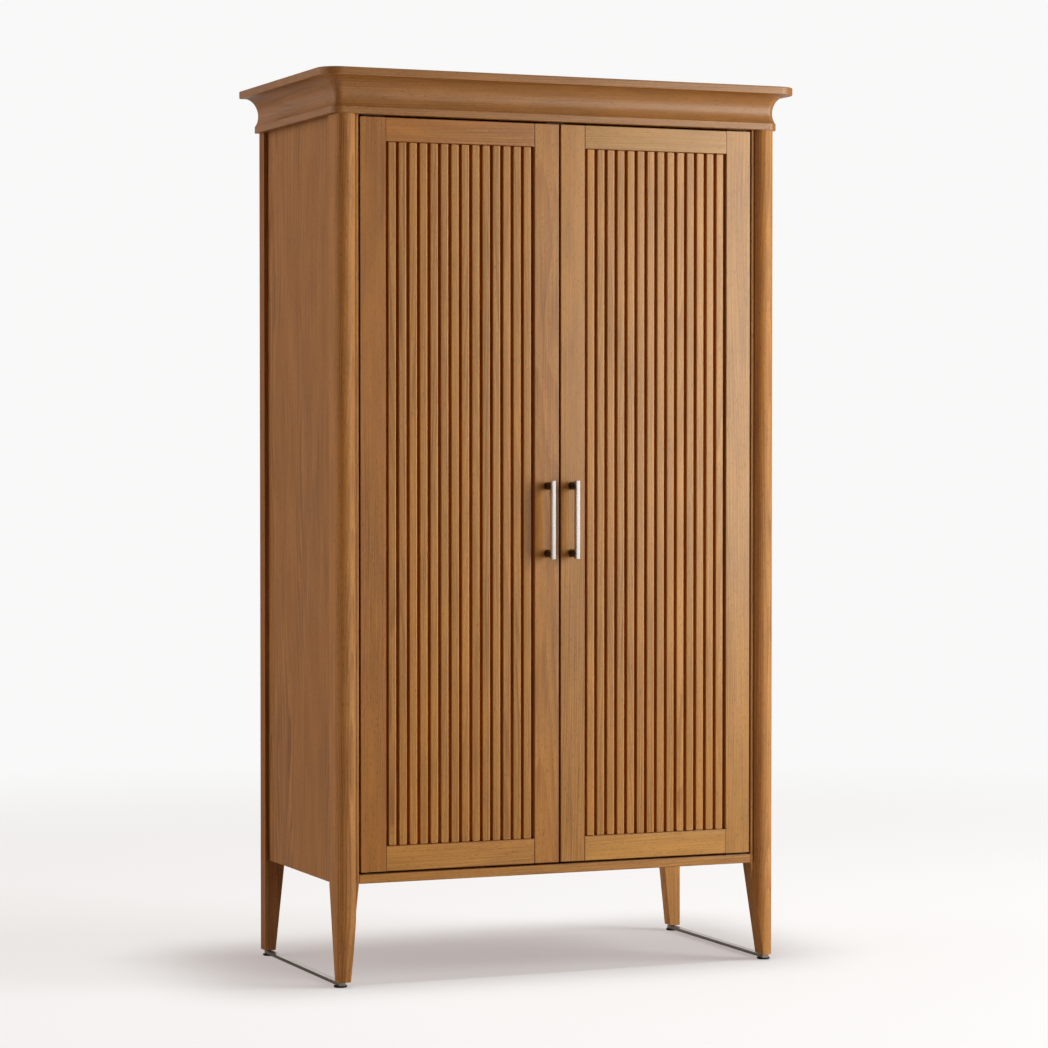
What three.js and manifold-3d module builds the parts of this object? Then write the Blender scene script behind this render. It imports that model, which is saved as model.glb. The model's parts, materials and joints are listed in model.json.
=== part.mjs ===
// Tall cabinet with two doors of upright slats, on four post legs joined by steel floor bars.
// Millimetres, +Z up, +X to the right, and the doors face -Y.
// The origin lies on the floor under the middle of the top board.
import * as THREE from 'three';
import { mergeVertices } from 'three/addons/utils/BufferGeometryUtils.js';
import Module from 'manifold-3d';

const wasm = await Module();
wasm.setup();

// Overall
const overallHeight = 1830;
const carcassWidth = 973; // over the outer faces of the posts
const carcassDepth = 477; // from the door faces to the back of the rear posts
const seamGap = 0.3; // between pieces that are cut to meet
const cutOverrun = 40; // how far a cutting block runs past what it cuts

// Top board
const topThickness = 16;
const topOverhang = 39.5; // past the crown's base line, at the front and sides
const topBackOverhang = 14; // past the rear posts
const topCornerRadius = 42;
const topEdgeRound = 2;

// Crown: the moulded frame under the top board
const crownHeight = 72.5;
const crownFrontProud = 4.5; // from the door faces forward to the crown's base line
const crownBackOverhang = 4;
const crownBackThickness = 18;
const crownCornerCore = 14; // plan radius of the corner on the base line
const filletHeight = 13.5;
const filletOut = 8.5; // these stand out from the base line
const filletEase = 1.5;
const waistOut = 1;
const waistZ = 36; // above the crown's underside, where the flare meets the cove
const coveOut = 33;

// Posts and legs
const postWidth = 49.5;
const rearPostWidth = 45;
const frontPostDepth = 39.5; // behind the door faces
const rearPostDepth = 30;
const postRound = 22; // radius of the rounded front
const postRoundSetback = 6.5; // its centre, behind the door faces
const footWidth = 27;
const footRound = 20; // radius of the front feet's outer back corner
const frontFootDepth = 23; // behind the door faces
const rearFootWidth = 24;

// Panels and boards
const legHeight = 206; // floor to the underside of the carcass
const bottomThickness = 18.5;
const sideThickness = 18;
const sideRecess = 9.5; // behind the posts' outer faces
const sideDrop = 2; // how far the side panels reach below the bottom board
const backThickness = 8;
const backRecess = 6; // in front of the rear posts' back faces
const innerTopThickness = 16;

// Shelves on cleats
const shelfCount = 4;
const shelfThickness = 18;
const shelfFrontSetback = 8; // behind the front posts
const shelfClearance = 1;
const cleatWidth = 16;
const cleatHeight = 20;
const cleatEndInset = 30;

// Feet
const footZ = 12; // the legs' undersides, on the glides' stems
const glideThickness = 3.5;
const glideDiameter = 27;
const glideChamfer = 1;
const stemDiameter = 8;
const frontGlideSetback = 27; // centres, behind the front posts' rounded fronts
const rearGlideInset = 17.5; // in front of the rear posts' back faces
const floorBarThickness = 6.5;
const floorBarWidth = 14;
const floorBarOverlap = 11; // past the glides' centres
const stemClearance = 0.3; // round the stem in the bar's hole

// Doors
const doorGap = 4; // round each door and between the two
const doorThickness = 22;
const stileWidth = 54;
const topRailHeight = 48;
const bottomRailHeight = 51;
const slatCount = 14;
const slatWidth = 16;
const slatRecess = 3; // behind the frame's front
const slatDepth = 9; // how deep the slots between the slats are
const backingThickness = 6;
const rebateWidth = 8;

// Handles
const handleLength = 160;
const handleWidth = 9.5;
const handleDepth = 11.5;
const handleProjection = 33;
const handleRound = 2.2;
const handleEndRound = 1;
const handlePostSpacing = 138;
const handlePostDiameter = 16;
const handlePostChamfer = 0.8;
const handleEdgeInset = 25; // from the meeting edge of the door
const handleBelowMiddle = 52; // below the door's middle

// Pivot hinges, above and below each door
const hingeLength = 50;
const hingeWidth = 10; // centred on the pivot
const hingeEndInset = 3; // from the door's outer edge
const frameLeafThickness = 1.6;
const doorLeafThickness = 2;
const pivotEdgeInset = 12; // from the door's outer edge
const pivotFaceInset = 7; // from the door's front face
const pinDiameter = 5;
const bossDiameter = 10;
const hingeClearance = 0.3;

// Magnetic catch
const catchWidth = 40;
const catchDepth = 15;
const catchHeight = 12;
const catchChamfer = 2;
const strikeWidth = 14;
const strikeHeight = 9;
const strikeThickness = 1.5;
const strikeEdgeInset = 2;

// Round things
const arcSteps = 6; // a whole arc takes twice as many
const roundSteps = 32;
const smallRoundSteps = 24;
const tinyArcSteps = 2;

// Places worked out from the sizes above
const topDepth = topOverhang + crownFrontProud + carcassDepth + topBackOverhang;
const topWidth = carcassWidth + 2 * topOverhang;
const outerX = carcassWidth / 2;
const postInnerX = outerX - postWidth;
const rearPostInnerX = outerX - rearPostWidth;
const topFrontY = -topDepth / 2;
const baseLineY = topFrontY + topOverhang;
const doorFaceY = baseLineY + crownFrontProud;
const rearY = doorFaceY + carcassDepth;
const frontPostBackY = doorFaceY + frontPostDepth;
const rearPostFrontY = rearY - rearPostDepth;
const backPanelY = rearY - backRecess - backThickness;
const topUndersideZ = overallHeight - topThickness;
const crownZ = topUndersideZ - crownHeight;
const bottomTopZ = legHeight + bottomThickness;
const sideInnerX = outerX - sideRecess - sideThickness;
const doorOuterX = postInnerX - doorGap;
const doorInnerX = doorGap / 2;
const doorBottomZ = bottomTopZ + doorGap;
const doorTopZ = crownZ - doorGap;
const footCentreX = outerX - footWidth / 2;
const barTopZ = glideThickness + floorBarThickness;
const postFrontY = doorFaceY + postRoundSetback - postRound;
const leafFrontY = pivotFaceInset - hingeWidth / 2;

const finishes = {
  wood: { color: 0x9a6540, roughness: 0.5, metalness: 0 },
  darkWood: { color: 0x8a5838, roughness: 0.55, metalness: 0 },
  steel: { color: 0xc4c4c2, roughness: 0.28, metalness: 1 },
  blackPlastic: { color: 0x17171a, roughness: 0.5, metalness: 0 },
};
const finish = (name) => new THREE.MeshStandardMaterial(finishes[name]);

function meshOf(name, geometry, finishName) {
  const mesh = new THREE.Mesh(geometry, finish(finishName));
  mesh.name = name;
  return mesh;
}

// A rectangular piece between pairs of limits along X, Y and Z.
function board(name, finishName, [x0, x1], [y0, y1], [z0, z1]) {
  const geometry = new THREE.BoxGeometry(Math.abs(x1 - x0), Math.abs(y1 - y0), Math.abs(z1 - z0));
  const mesh = meshOf(name, geometry, finishName);
  mesh.position.set((x0 + x1) / 2, (y0 + y1) / 2, (z0 + z1) / 2);
  return mesh;
}

function polygon(points) {
  return new THREE.Shape(points.map(([x, y]) => new THREE.Vector2(x, y)));
}

// Outlines are drawn for the left side, and turned over for the right.
function forSide(shape, side) {
  const points = shape.extractPoints(arcSteps).shape;
  return new THREE.Shape(points.map((point) => new THREE.Vector2(-side * point.x, point.y)));
}

// A plan outline raised from z0 to z1.
function raise(shape, z0, z1) {
  const options = { depth: z1 - z0, bevelEnabled: false, curveSegments: arcSteps };
  return new THREE.ExtrudeGeometry(shape, options).translate(0, 0, z0);
}

// An outline in (Y, Z) run from x0 to x1.
function runAlongX(shape, x0, x1) {
  const geometry = raise(shape, x0, x1);
  const yAxis = new THREE.Vector3(0, 1, 0);
  const zAxis = new THREE.Vector3(0, 0, 1);
  const xAxis = new THREE.Vector3(1, 0, 0);
  return geometry.applyMatrix4(new THREE.Matrix4().makeBasis(yAxis, zAxis, xAxis));
}

// An outline in (X, Z) run from y0 to y1.
function runAlongY(shape, y0, y1) {
  return raise(shape, -y1, -y0).rotateX(Math.PI / 2);
}

// A profile of (radius, height) pairs turned about +Z.
function turn(profile, steps) {
  const points = profile.map(([radius, height]) => new THREE.Vector2(radius, height));
  return new THREE.LatheGeometry(points, steps).rotateX(Math.PI / 2);
}

function boxBetween([x0, x1], [y0, y1], [z0, z1]) {
  const geometry = new THREE.BoxGeometry(x1 - x0, y1 - y0, z1 - z0);
  return geometry.translate((x0 + x1) / 2, (y0 + y1) / 2, (z0 + z1) / 2);
}

function solid(geometry) {
  const bare = geometry.clone();
  bare.deleteAttribute('normal');
  bare.deleteAttribute('uv');
  const merged = mergeVertices(bare);
  const corners = Uint32Array.from(merged.index.array);
  const build = (triVerts) => new wasm.Manifold(new wasm.Mesh({
    numProp: 3,
    vertProperties: Float32Array.from(merged.attributes.position.array),
    triVerts,
  }));
  const body = build(corners);
  return body.volume() > 0 ? body : build(corners.slice().reverse());
}

function geometryOf(body) {
  const mesh = body.getMesh();
  const geometry = new THREE.BufferGeometry();
  geometry.setAttribute('position', new THREE.BufferAttribute(mesh.vertProperties, mesh.numProp));
  geometry.setIndex(new THREE.BufferAttribute(mesh.triVerts, 1));
  const shaded = geometry.toNonIndexed();
  shaded.computeVertexNormals();
  return shaded;
}

function roundedPlate(halfWidth, front, back, radius) {
  const shape = new THREE.Shape();
  shape.moveTo(halfWidth, back);
  shape.lineTo(-halfWidth, back);
  shape.lineTo(-halfWidth, front + radius);
  shape.absarc(-halfWidth + radius, front + radius, radius, Math.PI, 1.5 * Math.PI, false);
  shape.lineTo(halfWidth - radius, front);
  shape.absarc(halfWidth - radius, front + radius, radius, -Math.PI / 2, 0, false);
  shape.closePath();
  return shape;
}

function topBoard() {
  const halfWidth = topWidth / 2 - topEdgeRound;
  const front = topFrontY + topEdgeRound;
  const back = topFrontY + topDepth - topEdgeRound;
  const radius = topCornerRadius - topEdgeRound;
  const geometry = new THREE.ExtrudeGeometry(roundedPlate(halfWidth, front, back, radius), {
    depth: topThickness - 2 * topEdgeRound,
    bevelEnabled: true,
    bevelSize: topEdgeRound,
    bevelThickness: topEdgeRound,
    bevelSegments: 2,
    curveSegments: arcSteps,
  });
  return meshOf('top_board', geometry.translate(0, 0, topUndersideZ + topEdgeRound), 'wood');
}

// The crown's section as (distance out from the base line, height) points.
function crownSection(depthBehind) {
  const easeCentre = filletOut - filletEase;
  const flareReach = filletOut - waistOut;
  const flareRise = waistZ - filletHeight;
  const flareAngle = 2 * Math.atan(flareReach / flareRise);
  const flareRadius = flareRise / Math.sin(flareAngle);
  const shape = new THREE.Shape();
  shape.moveTo(-depthBehind, 0);
  shape.lineTo(easeCentre, 0);
  shape.absarc(easeCentre, filletEase, filletEase, -Math.PI / 2, 0, false);
  shape.lineTo(filletOut, filletHeight);
  shape.absarc(
    waistOut + flareRadius, waistZ, flareRadius, Math.PI + flareAngle, Math.PI, true,
  );
  shape.absellipse(
    coveOut, waistZ, coveOut - waistOut, crownHeight - waistZ, Math.PI, Math.PI / 2, true, 0,
  );
  shape.lineTo(-depthBehind, crownHeight);
  shape.closePath();
  return shape;
}

function placedSection(depthBehind, toPoint) {
  const points = crownSection(depthBehind).extractPoints(arcSteps).shape;
  return polygon(points.map((point) => toPoint(point.x, point.y + crownZ)));
}

// The corner is the section turned about the corner's centre, kept in its own quarter.
function crownCorner(side) {
  const centreX = side * (outerX - crownCornerCore);
  const centreY = baseLineY + crownCornerCore;
  const reach = crownCornerCore + coveOut + cutOverrun;
  const points = crownSection(crownCornerCore).extractPoints(arcSteps).shape;
  const profile = points.map((point) => [point.x + crownCornerCore, point.y]);
  const turned = solid(turn([...profile, profile[0]], roundSteps).translate(centreX, centreY, crownZ));
  const xLimits = side < 0 ? [centreX - reach, centreX] : [centreX, centreX + reach];
  const quarter = boxBetween(xLimits, [centreY - reach, centreY], [crownZ - cutOverrun, overallHeight]);
  return turned.intersect(solid(quarter));
}

// Plan limits of the mitres: the front piece lies before the two 45 degree lines.
function frontMitre() {
  const cornerX = outerX - crownCornerCore;
  const cornerY = baseLineY + crownCornerCore - seamGap;
  const out = coveOut + crownCornerCore + cutOverrun;
  const back = frontPostDepth + crownFrontProud + cutOverrun;
  return raise(polygon([
    [-cornerX - out, cornerY - out],
    [cornerX + out, cornerY - out],
    [cornerX - back, cornerY + back],
    [-cornerX + back, cornerY + back],
  ]), crownZ - cutOverrun, overallHeight);
}

function sideMitre(side) {
  const cornerX = outerX - crownCornerCore;
  const cornerY = baseLineY + crownCornerCore;
  const out = coveOut + crownCornerCore + cutOverrun;
  const back = postWidth + cutOverrun;
  return raise(forSide(polygon([
    [-cornerX - out, cornerY - out],
    [-cornerX + back, cornerY + back],
    [-cornerX + back, rearY + cutOverrun],
    [-cornerX - out, rearY + cutOverrun],
  ]), side), crownZ - cutOverrun, overallHeight);
}

function crownFront() {
  const runEnd = outerX - crownCornerCore;
  const depth = crownFrontProud + frontPostDepth;
  const section = placedSection(depth, (out, z) => [baseLineY - out, z]);
  const run = solid(runAlongX(section, -runEnd, runEnd));
  const whole = run.add(crownCorner(-1)).add(crownCorner(1));
  return meshOf('cornice_front', geometryOf(whole.intersect(solid(frontMitre()))), 'wood');
}

function crownSide(side) {
  const section = placedSection(postWidth, (out, z) => [side * (outerX + out), z]);
  const run = solid(runAlongY(section, baseLineY + crownCornerCore, rearY + crownBackOverhang));
  const whole = run.add(crownCorner(side));
  const name = side < 0 ? 'cornice_left' : 'cornice_right';
  return meshOf(name, geometryOf(whole.intersect(solid(sideMitre(side)))), 'wood');
}

function crownBack() {
  const backY = rearY + crownBackOverhang;
  return board('cornice_back', 'wood',
    [-postInnerX, postInnerX], [backY - crownBackThickness, backY], [crownZ, topUndersideZ]);
}

function crown() {
  const group = new THREE.Group();
  group.add(crownFront(), crownSide(-1), crownSide(1), crownBack());
  return group;
}

// Plan of the left front post: flat outer side, rounded front, then a narrow flat strip.
function frontPostPlan() {
  const centreX = -outerX + postRound;
  const centreY = doorFaceY + postRoundSetback;
  const endAngle = 2 * Math.PI - Math.asin(postRoundSetback / postRound);
  const shape = new THREE.Shape();
  shape.moveTo(-outerX, frontPostBackY);
  shape.lineTo(-outerX, centreY);
  shape.absarc(centreX, centreY, postRound, Math.PI, endAngle, false);
  shape.lineTo(-postInnerX, doorFaceY);
  shape.lineTo(-postInnerX, frontPostBackY);
  shape.closePath();
  return shape;
}

function rearPostPlan() {
  return polygon([
    [-outerX, rearPostFrontY],
    [-rearPostInnerX, rearPostFrontY],
    [-rearPostInnerX, rearY],
    [-outerX, rearY],
  ]);
}

// Plan of the left front foot: its outer back corner is rounded too.
function frontFootPlan() {
  const backY = doorFaceY + frontFootDepth;
  const shape = new THREE.Shape();
  shape.moveTo(-outerX + footWidth, backY);
  shape.lineTo(-outerX + footRound, backY);
  shape.absarc(-outerX + footRound, backY - footRound, footRound, Math.PI / 2, Math.PI, false);
  shape.lineTo(-outerX, postFrontY);
  shape.lineTo(-outerX + footWidth, postFrontY);
  shape.closePath();
  return shape;
}

function rearFootPlan() {
  return polygon([
    [-outerX, rearPostFrontY],
    [-outerX + rearFootWidth, rearPostFrontY],
    [-outerX + rearFootWidth, rearY],
    [-outerX, rearY],
  ]);
}

// A post keeps its plan down to the carcass, and its leg narrows evenly from there to the foot.
function post(name, plan, footPlan, [backY, frontY, innerX], side) {
  const slice = (shape, z) => shape.extractPoints(arcSteps).shape.map(({ x, y }) => [-side * x, y, z]);
  const top = polygon([[-outerX, frontY], [-innerX, frontY], [-innerX, backY], [-outerX, backY]]);
  const narrowing = wasm.Manifold.hull([...slice(top, legHeight), ...slice(footPlan, footZ)]);
  const stick = (from, to) => solid(raise(forSide(plan, side), from, to));
  const leg = stick(footZ, legHeight).intersect(narrowing);
  return meshOf(name, geometryOf(stick(legHeight, crownZ).add(leg)), 'wood');
}

function posts() {
  const group = new THREE.Group();
  for (const [word, side] of [['left', -1], ['right', 1]]) {
    group.add(
      post(`post_front_${word}`, frontPostPlan(), frontFootPlan(),
        [frontPostBackY, postFrontY, postInnerX], side),
      post(`post_rear_${word}`, rearPostPlan(), rearFootPlan(),
        [rearY, rearPostFrontY, rearPostInnerX], side),
    );
  }
  return group;
}

// The bottom board fills the carcass and is notched round the rear posts.
function bottomBoard() {
  const half = [
    [sideInnerX, frontPostBackY],
    [sideInnerX, rearPostFrontY],
    [rearPostInnerX, rearPostFrontY],
    [rearPostInnerX, backPanelY],
  ];
  const mirrored = half.map(([x, y]) => [-x, y]).reverse();
  const plan = polygon([...half, ...mirrored]);
  return meshOf('bottom_board', raise(plan, legHeight, bottomTopZ), 'darkWood');
}

function panels() {
  const group = new THREE.Group();
  for (const [word, side] of [['left', -1], ['right', 1]]) {
    group.add(board(`side_panel_${word}`, 'wood',
      [side * sideInnerX, side * (outerX - sideRecess)],
      [frontPostBackY, rearPostFrontY], [legHeight - sideDrop, crownZ]));
  }
  group.add(board('back_panel', 'darkWood',
    [-rearPostInnerX, rearPostInnerX], [backPanelY, backPanelY + backThickness],
    [legHeight, crownZ]));
  group.add(board('bottom_front_rail', 'wood',
    [-postInnerX, postInnerX], [doorFaceY, frontPostBackY], [legHeight, bottomTopZ]));
  group.add(bottomBoard());
  const crownBackFront = rearY + crownBackOverhang - crownBackThickness;
  group.add(board('inner_top_panel', 'darkWood',
    [-postInnerX, postInnerX], [frontPostBackY, crownBackFront],
    [crownZ, crownZ + innerTopThickness]));
  return group;
}

// Shelves share the height inside evenly, each on a cleat at both ends.
function shelves() {
  const group = new THREE.Group();
  const spacing = (crownZ - bottomTopZ - shelfCount * shelfThickness) / (shelfCount + 1);
  const frontY = frontPostBackY + shelfFrontSetback;
  const backY = rearPostFrontY - shelfClearance;
  const halfWidth = sideInnerX - shelfClearance;
  for (let index = 1; index <= shelfCount; index += 1) {
    const bottomZ = bottomTopZ + index * spacing + (index - 1) * shelfThickness;
    group.add(board(`shelf_${index}`, 'darkWood',
      [-halfWidth, halfWidth], [frontY, backY], [bottomZ, bottomZ + shelfThickness]));
    for (const [word, side] of [['left', -1], ['right', 1]]) {
      group.add(board(`shelf_cleat_${word}_${index}`, 'darkWood',
        [side * (sideInnerX - cleatWidth), side * sideInnerX],
        [frontY + cleatEndInset, backY - cleatEndInset], [bottomZ - cleatHeight, bottomZ]));
    }
  }
  return group;
}

// A disc on the floor, with a stem through the floor bar up to the leg.
function glideGeometry() {
  const radius = glideDiameter / 2;
  const stem = stemDiameter / 2;
  return turn([
    [0, 0],
    [radius - glideChamfer, 0],
    [radius, glideChamfer],
    [radius, glideThickness],
    [stem, glideThickness],
    [stem, footZ],
    [0, footZ],
  ], roundSteps);
}

function floorBar(name, centreX, [frontY, backY]) {
  const half = floorBarWidth / 2;
  const blank = solid(boxBetween([centreX - half, centreX + half],
    [frontY - floorBarOverlap, backY + floorBarOverlap], [glideThickness, barTopZ]));
  const hole = stemDiameter / 2 + stemClearance;
  const drill = turn([
    [0, -cutOverrun], [hole, -cutOverrun], [hole, cutOverrun], [0, cutOverrun],
  ], smallRoundSteps);
  const body = [frontY, backY].reduce(
    (bar, y) => bar.subtract(solid(drill.clone().translate(centreX, y, 0))), blank);
  return meshOf(name, geometryOf(body), 'steel');
}

function feet() {
  const group = new THREE.Group();
  const places = { front: postFrontY + frontGlideSetback, rear: rearY - rearGlideInset };
  for (const [word, side] of [['left', -1], ['right', 1]]) {
    const centreX = side * footCentreX;
    group.add(floorBar(`floor_bar_${word}`, centreX, [places.front, places.rear]));
    for (const [end, y] of Object.entries(places)) {
      const glide = meshOf(`glide_${end}_${word}`, glideGeometry(), 'blackPlastic');
      glide.position.set(centreX, y, 0);
      group.add(glide);
    }
  }
  return group;
}

// Inside a door group X runs from the outer edge to the meeting edge, Y from the
// front face backward and Z up from the door's bottom edge.
const doorWidth = doorOuterX - doorInnerX;
const doorHeight = doorTopZ - doorBottomZ;

function rebateBlock(side) {
  const wide = rebateWidth;
  return solid(boxBetween(
    sorted(side, stileWidth - wide, doorWidth - stileWidth + wide),
    [slatRecess + slatDepth, doorThickness + cutOverrun],
    [bottomRailHeight - wide, doorHeight - topRailHeight + wide],
  ));
}

// Distances from the door's outer edge become X limits in low, high order.
function sorted(side, from, to) {
  return side < 0 ? [from, to] : [-to, -from];
}

function framePiece(name, side, [from, to], zLimits, cuts) {
  const blank = solid(boxBetween(sorted(side, from, to), [0, doorThickness], zLimits));
  const body = cuts.reduce((piece, cut) => piece.subtract(cut), blank);
  return meshOf(name, geometryOf(body), 'wood');
}

// The pocket in the hinge stile's end that takes the door leaf.
function leafPocket(side, atTop) {
  const depth = doorLeafThickness + hingeClearance;
  const gap = hingeClearance;
  const zLimits = atTop ? [doorHeight - depth, doorHeight + cutOverrun] : [-cutOverrun, depth];
  return solid(boxBetween(
    sorted(side, hingeEndInset - gap, hingeEndInset + hingeLength + gap),
    [leafFrontY - gap, leafFrontY + hingeWidth + gap],
    zLimits,
  ));
}

// Slats and the thin board behind them, glued up as one panel.
function slatPanel(name, side) {
  const openWidth = doorWidth - 2 * stileWidth;
  const spacing = (openWidth - slatCount * slatWidth) / (slatCount + 1);
  const backingFront = slatRecess + slatDepth;
  const backingLimits = sorted(side,
    stileWidth - rebateWidth + seamGap, doorWidth - stileWidth + rebateWidth - seamGap);
  const backing = solid(boxBetween(
    backingLimits,
    [backingFront + seamGap, backingFront + backingThickness],
    [bottomRailHeight - rebateWidth + seamGap, doorHeight - topRailHeight + rebateWidth - seamGap],
  ));
  const upTo = backingFront + backingThickness / 2;
  let panel = backing;
  for (let index = 0; index < slatCount; index += 1) {
    const from = stileWidth + spacing + index * (slatWidth + spacing);
    const slat = boxBetween(sorted(side, from, from + slatWidth), [slatRecess, upTo],
      [bottomRailHeight + seamGap, doorHeight - topRailHeight - seamGap]);
    panel = panel.add(solid(slat));
  }
  return meshOf(name, geometryOf(panel), 'wood');
}

function handleBarGeometry() {
  const halfWidth = handleWidth / 2 - handleEndRound;
  const halfDepth = handleDepth / 2 - handleEndRound;
  const radius = handleRound - handleEndRound;
  const shape = new THREE.Shape();
  const corners = [[1, 1, 0], [-1, 1, 0.5], [-1, -1, 1], [1, -1, 1.5]];
  for (const [sx, sy, turns] of corners) {
    const start = turns * Math.PI;
    shape.absarc(sx * (halfWidth - radius), sy * (halfDepth - radius), radius,
      start, start + Math.PI / 2, false);
  }
  shape.closePath();
  return new THREE.ExtrudeGeometry(shape, {
    depth: handleLength - 2 * handleEndRound,
    bevelEnabled: true,
    bevelSize: handleEndRound,
    bevelThickness: handleEndRound,
    bevelSegments: 2,
    curveSegments: tinyArcSteps,
  }).translate(0, 0, handleEndRound - handleLength / 2);
}

function handlePostGeometry() {
  const radius = handlePostDiameter / 2;
  const length = handleProjection - handleDepth;
  return turn([
    [0, 0],
    [radius, 0],
    [radius, length - handlePostChamfer],
    [radius - handlePostChamfer, length],
    [0, length],
  ], smallRoundSteps).rotateX(Math.PI / 2);
}

function handle(word, side) {
  const group = new THREE.Group();
  const bar = meshOf(`${word}_handle_bar`, handleBarGeometry(), 'steel');
  bar.position.set(0, handleDepth / 2 - handleProjection, 0);
  group.add(bar);
  for (const [end, up] of [['upper', 1], ['lower', -1]]) {
    const standoff = meshOf(`${word}_handle_post_${end}`, handlePostGeometry(), 'steel');
    standoff.position.set(0, 0, up * handlePostSpacing / 2);
    group.add(standoff);
  }
  const fromOuterEdge = doorWidth - handleEdgeInset;
  group.position.set(-side * fromOuterEdge, 0, doorHeight / 2 - handleBelowMiddle);
  return group;
}

// The leaf let into the door, drawn for the top end with its boss upward.
function doorLeafBody(side) {
  const bossHeight = doorGap - frameLeafThickness - hingeClearance;
  const plate = solid(boxBetween(
    sorted(side, hingeEndInset, hingeEndInset + hingeLength),
    [leafFrontY, leafFrontY + hingeWidth],
    [-doorLeafThickness, 0],
  ));
  const pivotX = -side * pivotEdgeInset;
  const bossProfile = [
    [0, -doorLeafThickness],
    [bossDiameter / 2, -doorLeafThickness],
    [bossDiameter / 2, bossHeight],
    [0, bossHeight],
  ];
  const holeProfile = [
    [0, -cutOverrun],
    [pinDiameter / 2 + hingeClearance, -cutOverrun],
    [pinDiameter / 2 + hingeClearance, cutOverrun],
    [0, cutOverrun],
  ];
  const boss = solid(turn(bossProfile, smallRoundSteps).translate(pivotX, pivotFaceInset, 0));
  const hole = solid(turn(holeProfile, smallRoundSteps).translate(pivotX, pivotFaceInset, 0));
  return plate.add(boss).subtract(hole);
}

// The leaf screwed to the frame, drawn for the top end with its pin downward.
function frameLeafBody(side) {
  const plate = solid(boxBetween(
    sorted(side, hingeEndInset, hingeEndInset + hingeLength),
    [leafFrontY, leafFrontY + hingeWidth],
    [doorGap - frameLeafThickness, doorGap],
  ));
  const pinProfile = [
    [0, hingeClearance - doorLeafThickness],
    [pinDiameter / 2, hingeClearance - doorLeafThickness],
    [pinDiameter / 2, doorGap - frameLeafThickness / 2],
    [0, doorGap - frameLeafThickness / 2],
  ];
  const pin = turn(pinProfile, smallRoundSteps).translate(-side * pivotEdgeInset, pivotFaceInset, 0);
  return plate.add(solid(pin));
}

// A half turn about an axis along X stands a top leaf on its head for the bottom end.
function placedLeaf(name, body, atTop) {
  const mesh = meshOf(name, geometryOf(body), 'steel');
  if (atTop) {
    mesh.position.set(0, 0, doorHeight);
  } else {
    mesh.rotation.set(Math.PI, 0, 0);
    mesh.position.set(0, 2 * pivotFaceInset, 0);
  }
  return mesh;
}

function strikePlate(word, side) {
  return board(`${word}_strike_plate`, 'steel',
    sorted(side, doorWidth - strikeEdgeInset - strikeWidth, doorWidth - strikeEdgeInset),
    [doorThickness, doorThickness + strikeThickness],
    [doorHeight - strikeEdgeInset - strikeHeight, doorHeight - strikeEdgeInset]);
}

function door(word, side) {
  const group = new THREE.Group();
  const rebate = rebateBlock(side);
  const fullHeight = [0, doorHeight];
  const pockets = [leafPocket(side, true), leafPocket(side, false)];
  const between = [stileWidth, doorWidth - stileWidth];
  const outerLimits = [0, stileWidth];
  const innerLimits = [doorWidth - stileWidth, doorWidth];
  const topLimits = [doorHeight - topRailHeight, doorHeight];
  const bottomLimits = [0, bottomRailHeight];
  group.add(
    framePiece(`${word}_hinge_stile`, side, outerLimits, fullHeight, [rebate, ...pockets]),
    framePiece(`${word}_lock_stile`, side, innerLimits, fullHeight, [rebate]),
    framePiece(`${word}_top_rail`, side, between, topLimits, [rebate]),
    framePiece(`${word}_bottom_rail`, side, between, bottomLimits, [rebate]),
  );
  group.add(slatPanel(`${word}_slat_panel`, side));
  group.add(handle(word, side));
  group.add(strikePlate(word, side));
  for (const [end, atTop] of [['top', true], ['bottom', false]]) {
    group.add(placedLeaf(`${word}_door_leaf_${end}`, doorLeafBody(side), atTop));
    group.add(placedLeaf(`${word}_frame_leaf_${end}`, frameLeafBody(side), atTop));
  }
  group.position.set(side * doorOuterX, doorFaceY, doorBottomZ);
  return group;
}

// One catch for both doors, screwed up under the crown's front.
function doorCatch() {
  const frontY = doorFaceY + doorThickness + strikeThickness + seamGap;
  const backY = frontY + catchDepth;
  const outline = polygon([
    [frontY, crownZ],
    [frontY, crownZ - catchHeight],
    [backY - catchChamfer, crownZ - catchHeight],
    [backY, crownZ - catchHeight + catchChamfer],
    [backY, crownZ],
  ]);
  return meshOf('door_catch', runAlongX(outline, -catchWidth / 2, catchWidth / 2), 'blackPlastic');
}

const cabinet = new THREE.Group();
cabinet.add(topBoard(), crown(), posts(), panels(), shelves(), feet());
cabinet.add(door('left', -1), door('right', 1), doorCatch());
export default cabinet;
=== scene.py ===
"""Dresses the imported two-door cabinet: eased boards with grain, single slats, steel and fixings.

Metres, +Z up, and the doors face -Y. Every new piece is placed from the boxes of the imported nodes.
"""

import json
import logging
import math
import random
from dataclasses import dataclass
from enum import Enum
from typing import NamedTuple

import bmesh
import bpy
from mathutils import Matrix, Vector

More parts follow.
